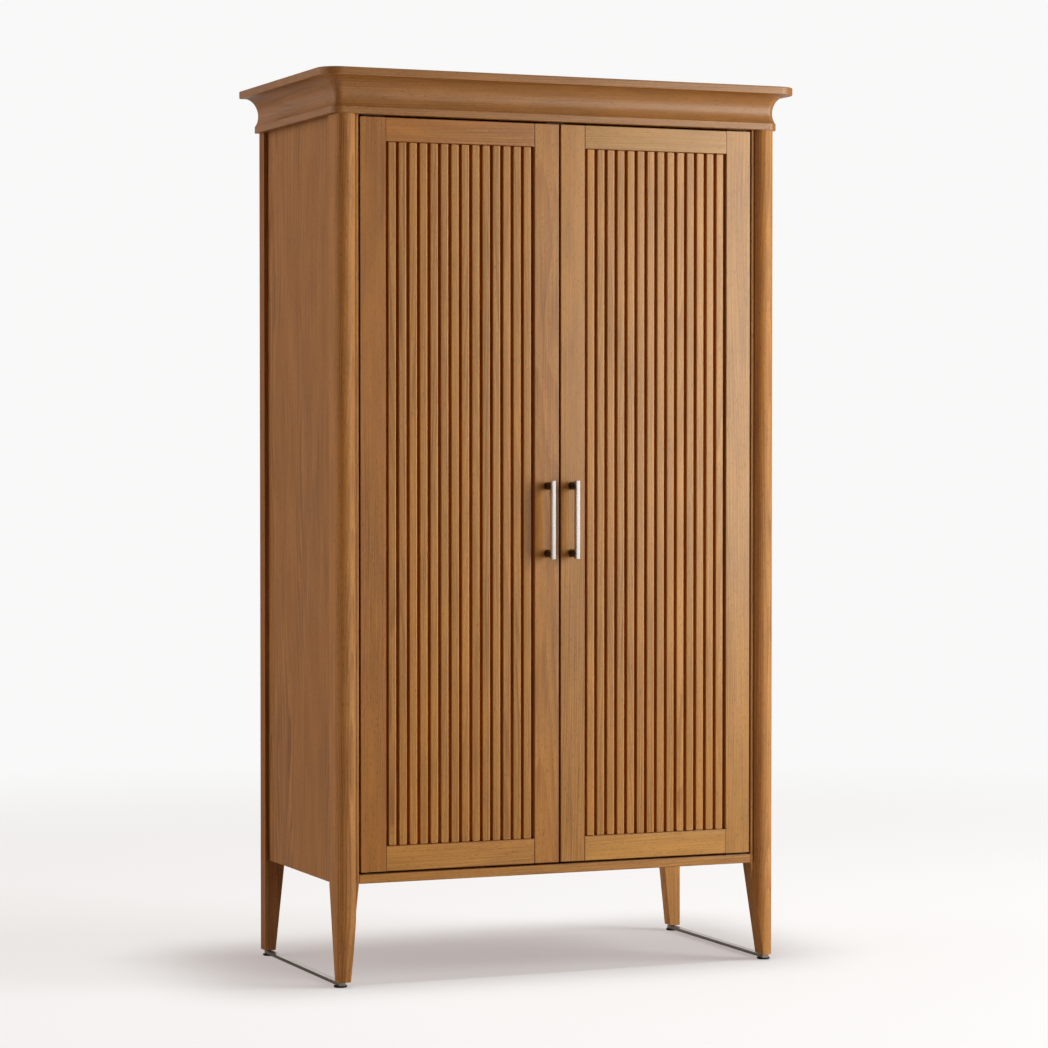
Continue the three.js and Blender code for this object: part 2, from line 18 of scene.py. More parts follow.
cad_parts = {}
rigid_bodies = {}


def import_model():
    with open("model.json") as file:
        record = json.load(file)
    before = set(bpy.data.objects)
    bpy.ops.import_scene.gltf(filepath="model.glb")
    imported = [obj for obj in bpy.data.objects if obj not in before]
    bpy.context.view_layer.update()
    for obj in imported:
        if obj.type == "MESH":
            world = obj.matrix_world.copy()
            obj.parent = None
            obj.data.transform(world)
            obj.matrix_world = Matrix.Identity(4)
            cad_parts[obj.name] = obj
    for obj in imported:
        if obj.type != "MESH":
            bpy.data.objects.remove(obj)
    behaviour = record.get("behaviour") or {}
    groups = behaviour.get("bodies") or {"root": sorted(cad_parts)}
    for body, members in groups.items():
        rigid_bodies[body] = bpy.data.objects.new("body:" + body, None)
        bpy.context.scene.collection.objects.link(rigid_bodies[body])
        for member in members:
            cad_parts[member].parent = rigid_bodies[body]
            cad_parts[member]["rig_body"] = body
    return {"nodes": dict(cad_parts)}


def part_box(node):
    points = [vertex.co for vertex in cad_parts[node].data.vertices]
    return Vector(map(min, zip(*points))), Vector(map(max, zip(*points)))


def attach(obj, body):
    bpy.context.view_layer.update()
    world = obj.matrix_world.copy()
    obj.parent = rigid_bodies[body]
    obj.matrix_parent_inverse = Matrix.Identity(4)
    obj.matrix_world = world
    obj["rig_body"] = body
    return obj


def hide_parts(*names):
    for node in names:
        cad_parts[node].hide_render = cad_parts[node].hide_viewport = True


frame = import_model()

Colour = tuple[float, float, float, float]
Triple = tuple[float, float, float]
Corners = tuple[Triple, Triple]
Socket = bpy.types.NodeSocket

LOG = logging.getLogger("cabinet")
EASED_LAYER = "eased"  # 1 on the faces that the easing made
WELD = 1e-5
FLAT_ANGLE = math.radians(1)
SHARP_ANGLE = math.radians(40)
SMOOTH_ANGLE = math.radians(35)
FACES_FRONT = -0.9  # a face whose normal has a smaller Y looks to the front
ROUND_PROFILE = 0.5  # the bevel's profile that gives an arc


class Noise(NamedTuple):
    """Noise: cycles per metre along X, Y and Z, octaves, and the strength of the finer ones."""

    scale: Triple
    octaves: float
    rough: float


class Ramp(NamedTuple):
    """A range of values, and the range that it is moved to."""

    low: float
    high: float
    to_low: float
    to_high: float


class Look(NamedTuple):
    """How much darker and redder a board is than its finish, or less where below zero."""

    darker: float = 0.0
    redder: float = 0.0


# The wood's noise, with its grain along Z.
SWAY = Noise((7.0, 7.0, 1.1), 2.0, 0.5)
WAVE = Noise((32.0, 32.0, 2.6), 2.0, 0.5)
STREAK = Noise((260.0, 260.0, 3.4), 3.0, 0.6)
FIBRE = Noise((900.0, 900.0, 14.0), 2.0, 0.6)
BROAD = Noise((9.0, 9.0, 1.7), 2.0, 0.5)
PATCH = Noise((26.0, 26.0, 5.5), 2.0, 0.55)
VESSEL = Noise((820.0, 820.0, 105.0), 1.0, 0.5)

# How far sway and wave push the growth rings, in rings.
SWAY_REACH = 11.0
WAVE_REACH = 1.6

# What the noise does to the wood.
RING_RISE = Ramp(0.15, 0.88, 0.0, 1.0)
RING_FALL = Ramp(0.9, 1.0, 1.0, 0.0)
STREAK_SHADE = Ramp(0.36, 0.68, 0.0, 0.44)
FIBRE_SHADE = Ramp(0.3, 0.72, 0.0, 0.28)
BROAD_WARMTH = Ramp(0.36, 0.66, 0.0, 0.55)
PATCH_LEVEL = Ramp(0.3, 0.7, 0.9, 1.06)
OPEN_WOOD = Ramp(0.0, 0.5, 1.0, 0.45)
PORE_SHADE = Ramp(0.6, 0.7, 0.0, 0.62)
FIBRE_HEIGHT = 0.45

# Where a board lies in its tree: its lean, its turn, its distance from the heart and its height.
LEAN = (-0.02, 0.02)
SPIN = (-3.0, 3.0)
HEART_DISTANCE = (0.09, 0.2)
TREE_HEIGHT = (-4.0, 4.0)

# How a board is tinted, and how its eased edges are coloured: paler edges are partly worn and partly
# a painted highlight.
BLUE_SHARE = 1.2  # the blue that a redder board loses, for each part of green
EDGE_WEAR_AND_HIGHLIGHT_LIFT = 1.35
GRAIN_RANGE = (0.2, 0.8)
GRAIN_DULLER = 0.05
GRAIN_SMOOTHER = 0.04
GRAIN_BUMP = 0.5

# Painted shade: a fine dark line in the inner corner beside the rounded front of a post, where shade
# falls.
CREASE_SHADE_OUT = 0.4432
CREASE_SHADE_LINE = Ramp(0.0005, 0.0013, 0.85, 0.0)
CREASE_SHADE_START = Ramp(0.206, 0.21, 0.0, 1.0)


class Grain(Enum):
    """The way that a board's grain runs, as the turn that stands it upright."""

    UPRIGHT = (0.0, 0.0, 0.0)
    ACROSS = (0.0, -math.pi / 2, 0.0)
    DEEP = (math.pi / 2, 0.0, 0.0)


class Side(Enum):
    """The two doors and the two ends of the carcass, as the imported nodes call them."""

    LEFT = "left"
    RIGHT = "right"


class NodeBench:
    """Adds nodes to one node tree and joins them."""

    def __init__(self, tree: bpy.types.NodeTree) -> None:
        """Starts on a tree.

        Args:
            tree: the node tree that gets the nodes.
        """
        self.tree = tree

    def fill(self, node: bpy.types.Node, inputs: dict) -> None:
        """Sets or joins a node's inputs.

        Args:
            node: the node.
            inputs: values or sockets for its inputs, by name or number.
        """
        for key, value in inputs.items():
            if isinstance(value, Socket):
                self.tree.links.new(value, node.inputs[key])
            else:
                node.inputs[key].default_value = value

    def add(self, kind: str, inputs: dict | None = None, **settings: object) -> bpy.types.Node:
        """Adds a node.

        Args:
            kind: the node's type name.
            inputs: values or sockets for its inputs, by name or number.
            settings: properties of the node.

        Returns:
            The new node.
        """
        node = self.tree.nodes.new(kind)
        for name, value in settings.items():
            setattr(node, name, value)
        self.fill(node, inputs or {})
        return node

    def math(self, operation: str, *values: object) -> Socket:
        """Adds a Math node.

        Args:
            operation: the node's operation.
            values: numbers or sockets, in order.

        Returns:
            The result.
        """
        return self.add("ShaderNodeMath", dict(enumerate(values)), operation=operation).outputs[0]

    def noise(self, place: Socket, plan: Noise) -> Socket:
        """Noise over a place.

        Args:
            place: where the noise is read.
            plan: what it is like.

        Returns:
            The noise, about 0 to 1.
        """
        scaled = self.add("ShaderNodeVectorMath", {0: place, 1: plan.scale}, operation="MULTIPLY")
        inputs = {"Vector": scaled.outputs[0], "Scale": 1.0, "Detail": plan.octaves,
                  "Roughness": plan.rough}
        return self.add("ShaderNodeTexNoise", inputs, noise_dimensions="3D").outputs["Fac"]

    def ranged(self, value: Socket, ramp: Ramp) -> Socket:
        """A value moved smoothly from one range to another.

        Args:
            value: the value.
            ramp: the two ranges.

        Returns:
            The result.
        """
        inputs = {"Value": value, "From Min": ramp.low, "From Max": ramp.high,
                  "To Min": ramp.to_low, "To Max": ramp.to_high}
        node = self.add("ShaderNodeMapRange", inputs, interpolation_type="SMOOTHSTEP", clamp=True)
        return node.outputs[0]

    def mixed(self, factor: object, first: object, second: object, blend: str = "MIX") -> Socket:
        """Two colours mixed.

        Args:
            factor: how much of the second.
            first: the first colour.
            second: the second colour.
            blend: the way of mixing.

        Returns:
            The mixed colour.
        """
        inputs = {"Factor": factor, 6: first, 7: second}  # 6 and 7 are the two colour inputs
        node = self.add("ShaderNodeMix", inputs, data_type="RGBA", blend_type=blend)
        return node.outputs[2]


def empty_material(name: str) -> tuple[bpy.types.Material, NodeBench]:
    """A material with an empty tree.

    Args:
        name: the material's name.

    Returns:
        The material and its bench.
    """
    material = bpy.data.materials.new(name)
    material.use_nodes = True
    material.node_tree.nodes.clear()
    return material, NodeBench(material.node_tree)


def shaded_material(name: str) -> tuple[bpy.types.Material, NodeBench, bpy.types.Node]:
    """A material with a shader and an output.

    Args:
        name: the material's name.

    Returns:
        The material, its bench and its shader node.
    """
    material, bench = empty_material(name)
    shader = bench.add("ShaderNodeBsdfPrincipled")
    bench.add("ShaderNodeOutputMaterial", {"Surface": shader.outputs[0]})
    return material, bench, shader


def rgba(red: float, green: float, blue: float) -> Colour:
    """A colour from sRGB parts of 0 to 255, as the linear values that nodes take.

    Args:
        red: the red part.
        green: the green part.
        blue: the blue part.

    Returns:
        Linear red, green, blue and alpha.
    """
    def linear(part: float) -> float:
        """The sRGB curve for one part.

        Args:
            part: the part, 0 to 255.

        Returns:
            Its linear value, 0 to 1.
        """
        share = part / 255
        return share / 12.92 if share <= 0.04045 else ((share + 0.055) / 1.055) ** 2.4
    return (linear(red), linear(green), linear(blue), 1.0)


def toned(colour: Colour, share: float, lift: float = 0.0) -> Colour:
    """A colour made darker or lighter, up to white.

    Args:
        colour: the colour.
        share: how much of it stays.
        lift: what is added to each part.

    Returns:
        The new colour.
    """
    return (*(min(part * share + lift, 1.0) for part in colour[:3]), 1.0)


@dataclass(frozen=True)
class WoodFinish:
    """Oiled wood: growth rings, fibres and pores that run along the piece.

    The pattern is solid, so faces, edges and end grain belong together.
    """

    name: str
    early: Colour
    late: Colour
    warm: Colour
    pore: Colour
    figure: float = 0.5
    ring_pitch: float = 0.0042
    roughness: float = 0.32
    gloss: float = 0.2
    relief: float = 0.00012
    # How much of the edge colour the eased faces get. A paler edge colour is partly worn wood and
    # partly a painted highlight; the doors' dark edges are dark joints and painted shade in the
    # gaps.
    edge_wear_and_shading: float = 0.5
    edge: Colour | None = None

    def _group(self) -> bpy.types.NodeTree:
        """The node group that all woods share.

        Returns:
            The group, made on first use.
        """
        known = bpy.data.node_groups.get("cabinet_wood")
        if known:
            return known
        tree = bpy.data.node_groups.new("cabinet_wood", "ShaderNodeTree")
        sockets = {
            "INPUT": {"Place": "Vector", "Early": "Color", "Late": "Color", "Warm": "Color",
                      "Pore": "Color", "Figure": "Float", "Rings": "Float"},
            "OUTPUT": {"Color": "Color", "Grain": "Float", "Height": "Float"},
        }
        for way, kinds in sockets.items():
            for name, kind in kinds.items():
                tree.interface.new_socket(name, in_out=way, socket_type=f"NodeSocket{kind}")
        bench = NodeBench(tree)
        given = bench.add("NodeGroupInput").outputs
        place = given["Place"]
        ring = self._ring(bench, place, given["Rings"])
        fibre = bench.noise(place, FIBRE)

        shade = bench.math("MULTIPLY", ring, given["Figure"])
        streaks = bench.ranged(bench.noise(place, STREAK), STREAK_SHADE)
        fibres = bench.ranged(fibre, FIBRE_SHADE)
        shade = bench.math("ADD", shade, bench.math("ADD", streaks, fibres))
        tone = bench.mixed(bench.math("MINIMUM", shade, 1.0), given["Early"], given["Late"])
        warmth = bench.ranged(bench.noise(place, BROAD), BROAD_WARMTH)
        tone = bench.mixed(warmth, tone, given["Warm"])
        dusk = bench.ranged(bench.noise(place, PATCH), PATCH_LEVEL)
        level = bench.add("ShaderNodeCombineColor", {0: dusk, 1: dusk, 2: dusk}).outputs[0]
        tone = bench.mixed(1.0, tone, level, "MULTIPLY")
        vessels = bench.ranged(bench.noise(place, VESSEL), PORE_SHADE)
        pores = bench.math("MULTIPLY", vessels, bench.ranged(ring, OPEN_WOOD))
        tone = bench.mixed(pores, tone, given["Pore"])
        height = bench.math("SUBTRACT", bench.math("MULTIPLY", fibre, FIBRE_HEIGHT), pores)
        bench.add("NodeGroupOutput", {"Color": tone, "Grain": fibre, "Height": height})
        return tree

    def _ring(self, bench: NodeBench, place: Socket, rings: Socket) -> Socket:
        """Growth rings round Z that rise slowly and end sharply.

        Args:
            bench: the group's nodes.
            place: the place in the tree.
            rings: how many rings a metre has.

        Returns:
            0 in the early wood to 1 in the late wood.
        """
        parts = bench.add("ShaderNodeSeparateXYZ", {0: place}).outputs
        squares = [bench.math("POWER", parts[axis], 2.0) for axis in (0, 1)]
        radius = bench.math("SQRT", bench.math("ADD", *squares))
        phase = bench.math("MULTIPLY", radius, rings)
        for plan, reach in ((SWAY, SWAY_REACH), (WAVE, WAVE_REACH)):
            push = bench.math("MULTIPLY", bench.noise(place, plan), reach)
            phase = bench.math("ADD", phase, push)
        turn = bench.math("FRACT", phase)
        rise = bench.ranged(turn, RING_RISE)
        return bench.math("MULTIPLY", rise, bench.ranged(turn, RING_FALL))

    def _paint_crease_shade(self, bench: NodeBench, place: Socket, colour: Socket) -> Socket:
        """Paints shade as a fine dark line in the inner corner beside a post's rounded front.

        Args:
            bench: the material's nodes.
            place: the object coordinates.
            colour: the wood without the painted shade line.

        Returns:
            The wood with the painted shade line.
        """
        parts = bench.add("ShaderNodeSeparateXYZ", {0: place}).outputs
        off = bench.math("SUBTRACT", bench.math("ABSOLUTE", parts[0]), CREASE_SHADE_OUT)
        line = bench.ranged(bench.math("ABSOLUTE", off), CREASE_SHADE_LINE)
        above = bench.ranged(parts[2], CREASE_SHADE_START)
        return bench.mixed(bench.math("MULTIPLY", line, above), colour, self.pore)

    def _in_tree(self, bench: NodeBench, place: Socket, piece: str, grain: Grain,
                 box: Corners | None) -> Socket:
        """Gives a board a part of the tree of its own.

        Args:
            bench: the material's nodes.
            place: the object coordinates.
            piece: the board's name, which picks its part of the tree.
            grain: the way that the grain runs.
            box: the board's two corners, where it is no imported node.

        Returns:
            The place in the tree.
        """
        luck = random.Random(f"{self.name}:{piece}")
        turned = grain.value
        stood = bench.add("ShaderNodeMapping", {"Vector": place, "Rotation": turned}).outputs[0]
        lean = (luck.uniform(*LEAN), luck.uniform(*LEAN), luck.uniform(*SPIN))
        heart = luck.uniform(*HEART_DISTANCE)
        around = luck.uniform(0.0, math.tau)
        low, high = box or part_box(piece)
        middle = (Vector(low) + Vector(high)) / 2
        middle.rotate(Matrix.Rotation(turned[0], 3, "X") @ Matrix.Rotation(turned[1], 3, "Y"))
        shift = (heart * math.cos(around) - middle.x, heart * math.sin(around) - middle.y,
                 luck.uniform(*TREE_HEIGHT))
        inputs = {"Vector": stood, "Location": shift, "Rotation": lean}
        return bench.add("ShaderNodeMapping", inputs).outputs[0]

    def material(self, piece: str, grain: Grain, look: Look = Look(),
                 box: Corners | None = None, crease_shaded: bool = False) -> bpy.types.Material:
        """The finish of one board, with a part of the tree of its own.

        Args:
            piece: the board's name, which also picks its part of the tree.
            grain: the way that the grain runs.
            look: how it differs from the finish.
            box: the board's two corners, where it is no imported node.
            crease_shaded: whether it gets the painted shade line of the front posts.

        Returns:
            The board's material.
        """
        material, bench, shader = shaded_material(f"{self.name}_{piece}")
        place = bench.add("ShaderNodeTexCoord").outputs["Object"]
        level = 1.0 - look.darker
        tint = (level, level * (1.0 - look.redder), level * (1.0 - BLUE_SHARE * look.redder))
        inputs = {"Place": self._in_tree(bench, place, piece, grain, box),
                  "Figure": self.figure, "Rings": 1.0 / self.ring_pitch}
        for socket, colour in (("Early", self.early), ("Late", self.late),
                               ("Warm", self.warm), ("Pore", self.pore)):
            inputs[socket] = (*(part * share for part, share in zip(colour, tint)), 1.0)
        wood = bench.add("ShaderNodeGroup", inputs, node_tree=self._group()).outputs
        eased = bench.add("ShaderNodeAttribute", attribute_name=EASED_LAYER).outputs["Fac"]
        # Eased faces take the edge colour: partly worn edges and dark joints, partly a painted
        # highlight and painted shade in the door gaps.
        edges = self.edge or toned(self.early, EDGE_WEAR_AND_HIGHLIGHT_LIFT)
        colour = bench.mixed(bench.math("MULTIPLY", eased, self.edge_wear_and_shading), wood["Color"], edges)
        # painted shade in the inner corner beside a front post's rounded front
        if crease_shaded:
            colour = self._paint_crease_shade(bench, place, colour)
        dull = Ramp(*GRAIN_RANGE, self.roughness + GRAIN_DULLER, self.roughness - GRAIN_SMOOTHER)
        bump = bench.add("ShaderNodeBump", {"Height": wood["Height"], "Strength": GRAIN_BUMP,
                                            "Distance": self.relief})
        bench.fill(shader, {"Base Color": colour, "Roughness": bench.ranged(wood["Grain"], dull),
                            "Normal": bump.outputs[0], "Specular IOR Level": self.gloss})
        return material


@dataclass(frozen=True)
class SharedFinish:
    """A finish that several pieces share."""

    name: str
    colour: Colour
    roughness: float

    def material(self) -> bpy.types.Material:
        """The finish, made once.

        Returns:
            The material.
        """
        known = bpy.data.materials.get(f"{self.name}_finish")
        if known:
            return known
        material, bench, shader = shaded_material(f"{self.name}_finish")
        place = bench.add("ShaderNodeTexCoord").outputs["Object"]
        bench.fill(shader, self._surface(bench, place))
        return material

    def _surface(self, bench: NodeBench, place: Socket) -> dict:
        """The shader's inputs.

        Args:
            bench: the material's nodes.
            place: the object coordinates.

        Returns:
            Values and sockets by the input's name.
        """
        raise NotImplementedError


@dataclass(frozen=True)
class SteelFinish(SharedFinish):
    """Satin steel with fine brush lines."""

    brushed: Triple = (1600.0, 1600.0, 16.0)
    line_octaves: float = 2.0
    line_rough: float = 0.6
    line_shade: Ramp = Ramp(0.3, 0.7, 0.0, 0.25)
    line_strength: float = 0.15
    line_depth: float = 0.000004
    dull: float = 0.82
    cloud: Noise = Noise((30.0, 30.0, 30.0), 2.0, 0.5)
    cloud_share: float = 0.5
    rough_range: tuple[float, float] = (0.4, 1.1)
    smoother: float = 0.03
    duller: float = 0.05

    def _surface(self, bench: NodeBench, place: Socket) -> dict:
        """The steel's inputs.

        Args:
            bench: the material's nodes.
            place: the object coordinates.

        Returns:
            Values and sockets by the input's name.
        """
        lines = bench.noise(place, Noise(self.brushed, self.line_octaves, self.line_rough))
        shade = bench.ranged(lines, self.line_shade)
        cloud = bench.math("MULTIPLY", bench.noise(place, self.cloud), self.cloud_share)
        rough = Ramp(*self.rough_range, self.roughness - self.smoother,
                     self.roughness + self.duller)
        bump = bench.add("ShaderNodeBump", {"Height": lines, "Strength": self.line_strength,
                                            "Distance": self.line_depth})
        return {"Base Color": bench.mixed(shade, self.colour, toned(self.colour, self.dull)),
                "Roughness": bench.ranged(bench.math("ADD", lines, cloud), rough),
                "Normal": bump.outputs[0], "Metallic": 1.0}


@dataclass(frozen=True)
class PlasticFinish(SharedFinish):
    """Black moulded plastic with a fine texture."""

    gloss: float
    grit: Noise = Noise((1800.0, 1800.0, 1800.0), 2.0, 0.5)
    grit_range: tuple[float, float] = (0.3, 0.7)
    grit_strength: float = 0.3
    grit_depth: float = 0.00006
    dust: Noise = Noise((45.0, 45.0, 45.0), 3.0, 0.6)
    dust_shade: Ramp = Ramp(0.4, 0.8, 0.0, 0.7)
    dust_share: float = 1.9
    dust_lift: float = 0.004
    smoother: float = 0.05
    duller: float = 0.08

    def _surface(self, bench: NodeBench, place: Socket) -> dict:
        """The plastic's inputs.

        Args:
            bench: the material's nodes.
            place: the object coordinates.

        Returns:
            Values and sockets by the input's name.
        """
        grit = bench.noise(place, self.grit)
        dust = bench.ranged(bench.noise(place, self.dust), self.dust_shade)
        grey = toned(self.colour, self.dust_share, self.dust_lift)
        rough = Ramp(*self.grit_range, self.roughness - self.smoother,
                     self.roughness + self.duller)
        bump = bench.add("ShaderNodeBump", {"Height": grit, "Strength": self.grit_strength,
                                            "Distance": self.grit_depth})
        return {"Base Color": bench.mixed(dust, self.colour, grey),
                "Roughness": bench.ranged(grit, rough), "Normal": bump.outputs[0],
                "Specular IOR Level": self.gloss}


# Each wood has its early wood, late wood, warm areas and pores.
CARCASS_WOOD = WoodFinish(
    "carcass_wood", rgba(164, 114, 64), rgba(126, 80, 40), rgba(154, 102, 50), rgba(82, 44, 22),
    roughness=0.5, gloss=0.09)
# The door wood's eased edges are dark red-brown: dark joints, and the painted reddish shade of the
# gaps between the doors and the posts.
DOOR_WOOD = WoodFinish(
    "door_wood", rgba(168, 118, 61), rgba(129, 81, 38), rgba(163, 109, 49), rgba(82, 42, 18),
    figure=0.34, edge_wear_and_shading=0.8, edge=rgba(112, 56, 26))
SLAT_WOOD = WoodFinish(
    "slat_wood", rgba(171, 121, 62), rgba(133, 84, 38), rgba(167, 113, 50), rgba(82, 42, 18))
CROWN_WOOD = WoodFinish(
    "crown_wood", rgba(153, 105, 59), rgba(119, 76, 40), rgba(148, 98, 50), rgba(80, 42, 22),
    roughness=0.36)
INSIDE_WOOD = WoodFinish(
    "inside_wood", rgba(158, 108, 60), rgba(122, 76, 40), rgba(148, 97, 50), rgba(80, 44, 24),
    roughness=0.55)
# Painted shade: the backing's front shows only in the slats' shade, and gets its own redder wood set
# to how the shaded slots look.
SLOT_PAINTED_SHADE = WoodFinish(
    "slot_wood", rgba(204, 100, 48), rgba(160, 72, 32), rgba(194, 92, 40), rgba(104, 46, 22),
    roughness=0.6)
HANDLE_STEEL = SteelFinish("handle_steel", rgba(222, 221, 219), 0.27)
POST_STEEL = SteelFinish("handle_post_steel", rgba(70, 56, 46), 0.42)
BAR_STEEL = SteelFinish("foot_bar_steel", rgba(150, 146, 142), 0.3, (900.0, 12.0, 900.0))
# Painted shade: the hinge steel is the dark red-brown of the shade in the door gaps where the hinges
# sit.
HINGE_STEEL = SteelFinish("hinge_steel", rgba(48, 34, 26), 0.5, (12.0, 900.0, 900.0))
GLIDE_PLASTIC = PlasticFinish("glide_plastic", rgba(13, 12, 12), 0.6, gloss=0.16)
CATCH_PLASTIC = PlasticFinish("catch_plastic", rgba(30, 30, 31), 0.48, gloss=0.4)

# How single boards differ from their finish: mostly painted light and shade, with boards lighter
# where the light falls on them and darker and redder where they are in shade, and some of each
# board's own tone. A board that isn't listed has the finish as it is.
BOARD_TONE_AND_PAINTED_LIGHT = {
    "left_hinge_stile": Look(0.11, 0.08), "left_lock_stile": Look(0.03, 0.03),
    "left_top_rail": Look(0.05, 0.09), "left_bottom_rail": Look(-0.08, -0.03),
    "right_hinge_stile": Look(-0.04, -0.05), "right_lock_stile": Look(0.02, -0.01),
    "right_top_rail": Look(-0.02, -0.11), "right_bottom_rail": Look(-0.17, -0.09),
    "post_front_left": Look(-0.13, 0.0), "post_front_right": Look(-0.23, -0.02),
    "post_rear_left": Look(0.2, 0.14), "post_rear_right": Look(-0.4, -0.04),
    "bottom_front_rail": Look(-0.03, -0.02),
}
# Painted light: the left door's slats are a little darker and the right door's a little lighter, as
# the light falls across the front. The spread below gives each slat its own tone at random.
SLAT_SIDE_PAINTED_LIGHT = {Side.LEFT: 0.02, Side.RIGHT: -0.02}
SLAT_SPREAD = (-0.05, 0.07)


class Bench:
    """Turns bmeshes into finished pieces that ride on a body."""

    def finish(self, bm: bmesh.types.BMesh, name: str, body: str, slot: str,
               material: bpy.types.Material, replaced: tuple[str, ...] = ()) -> bpy.types.Object:
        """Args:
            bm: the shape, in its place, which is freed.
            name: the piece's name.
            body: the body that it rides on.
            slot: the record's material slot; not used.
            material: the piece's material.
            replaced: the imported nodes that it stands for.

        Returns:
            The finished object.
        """
        for face in bm.faces:
            face.smooth = True
        for edge in bm.edges:
            edge.smooth = not edge.is_manifold or edge.calc_face_angle(0.0) < SMOOTH_ANGLE
        mesh = bpy.data.meshes.new(name)
        bm.to_mesh(mesh)
        bm.free()
        mesh.materials.append(material)
        piece = bpy.data.objects.new(name, mesh)
        bpy.context.scene.collection.objects.link(piece)
        shading = piece.modifiers.new("shading", "WEIGHTED_NORMAL")
        shading.keep_sharp = True
        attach(piece, body)
        if replaced:
            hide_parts(*replaced)
        return piece

    def dress(self, node: str, finish: SharedFinish) -> bpy.types.Object:
        """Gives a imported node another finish.

        Args:
            node: the node's name.
            finish: its new finish.

        Returns:
            The node's object.
        """
        piece = frame["nodes"][node]
        piece.data.materials.clear()
        piece.data.materials.append(finish.material())
        return piece

    def copy_of(self, node: str) -> bmesh.types.BMesh:
        """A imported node's solid with its loose triangles joined into plain faces.

        Args:
            node: the node's name.

        Returns:
            The joined solid.
        """
        bm = bmesh.new()
        bm.from_mesh(frame["nodes"][node].data)
        bmesh.ops.remove_doubles(bm, verts=bm.verts, dist=WELD)
        bmesh.ops.dissolve_limit(bm, angle_limit=FLAT_ANGLE, verts=bm.verts, edges=bm.edges)
        return bm

    def rounded(self, bm: bmesh.types.BMesh, edges: list[bmesh.types.BMEdge], width: float,
                segments: int) -> list[bmesh.types.BMFace]:
        """Rounds some edges.

        Args:
            bm: the solid.
            edges: its edges to round.
            width: how wide the rounding is.
            segments: how many faces it gets.

        Returns:
            The new faces.
        """
        made = bmesh.ops.bevel(bm, geom=edges, offset=width, offset_type="OFFSET",
                               segments=segments, profile=ROUND_PROFILE, affect="EDGES",
                               clamp_overlap=True, material=-1)
        return made["faces"]

    def ease(self, bm: bmesh.types.BMesh, width: float, segments: int = 2) -> None:
        """Rounds the sharp edges a little and marks the rounded faces.

        Args:
            bm: the solid.
            width: how wide the rounding is.
            segments: how many faces it gets.
        """
        layer = bm.loops.layers.float.new(EASED_LAYER)
        sharp = [edge for edge in bm.edges if edge.is_manifold and edge.is_convex
                 and edge.calc_face_angle(0.0) > SHARP_ANGLE]
        for face in self.rounded(bm, sharp, width, segments):
            for corner in face.loops:
                corner[layer] = 1.0

    def eased_board(self, node: str, finish: WoodFinish, grain: Grain, slot: str,
                    width: float, crease_shaded: bool = False) -> bpy.types.Object:
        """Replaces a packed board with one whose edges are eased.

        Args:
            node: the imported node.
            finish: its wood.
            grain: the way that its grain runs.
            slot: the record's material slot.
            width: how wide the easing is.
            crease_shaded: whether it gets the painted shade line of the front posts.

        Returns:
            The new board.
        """
        bm = self.copy_of(node)
        self.ease(bm, width)
        body = frame["nodes"][node]["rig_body"]
        material = finish.material(node, grain, BOARD_TONE_AND_PAINTED_LIGHT.get(node, Look()), crease_shaded=crease_shaded)
        return self.finish(bm, f"{node}_wood", body, slot, material, (node,))

    def block(self, low: Triple, high: Triple) -> bmesh.types.BMesh:
        """A block between two corners.

        Args:
            low: the lowest corner.
            high: the highest corner.

        Returns:
            The block.
        """
        bm = bmesh.new()
        size = Vector(high) - Vector(low)
        centre = (Vector(high) + Vector(low)) / 2
        place = Matrix.Translation(centre) @ Matrix.Diagonal((*size, 1.0))
        bmesh.ops.create_cube(bm, size=1.0, matrix=place)
        return bm

    def turned(self, profile: list[tuple[float, float]], steps: int) -> bmesh.types.BMesh:
        """A profile of (radius, height) pairs spun about +Z.

        Args:
            profile: the pairs, from the axis to the axis.
            steps: how many steps a full turn has.

        Returns:
            The turned solid.
        """
        bm = bmesh.new()
        points = [bm.verts.new((radius, 0.0, height)) for radius, height in profile]
        edges = [bm.edges.new(pair) for pair in zip(points, points[1:])]
        bmesh.ops.spin(bm, geom=[*points, *edges], cent=(0, 0, 0), axis=(0, 0, 1),
                       angle=math.tau, steps=steps, use_merge=True)
        bmesh.ops.remove_doubles(bm, verts=bm.verts, dist=WELD)
        bmesh.ops.recalc_face_normals(bm, faces=bm.faces)
        return bm


BENCH = Bench()


@dataclass
class Crown:
    """The top board and the moulded frame under it."""

    board_ease: float = 0.0006
    moulding_ease: float = 0.0005

    def build(self) -> list[bpy.types.Object]:
        """Builds the crown's pieces.

        Returns:
            The pieces.
        """
        boards = {
            "top_board": (Grain.ACROSS, self.board_ease),
            "cornice_front": (Grain.ACROSS, self.moulding_ease),
            "cornice_back": (Grain.ACROSS, self.moulding_ease),
            "cornice_left": (Grain.DEEP, self.moulding_ease),
            "cornice_right": (Grain.DEEP, self.moulding_ease),
        }
        return [BENCH.eased_board(node, CROWN_WOOD, grain, "crown_wood", ease)
                for node, (grain, ease) in boards.items()]


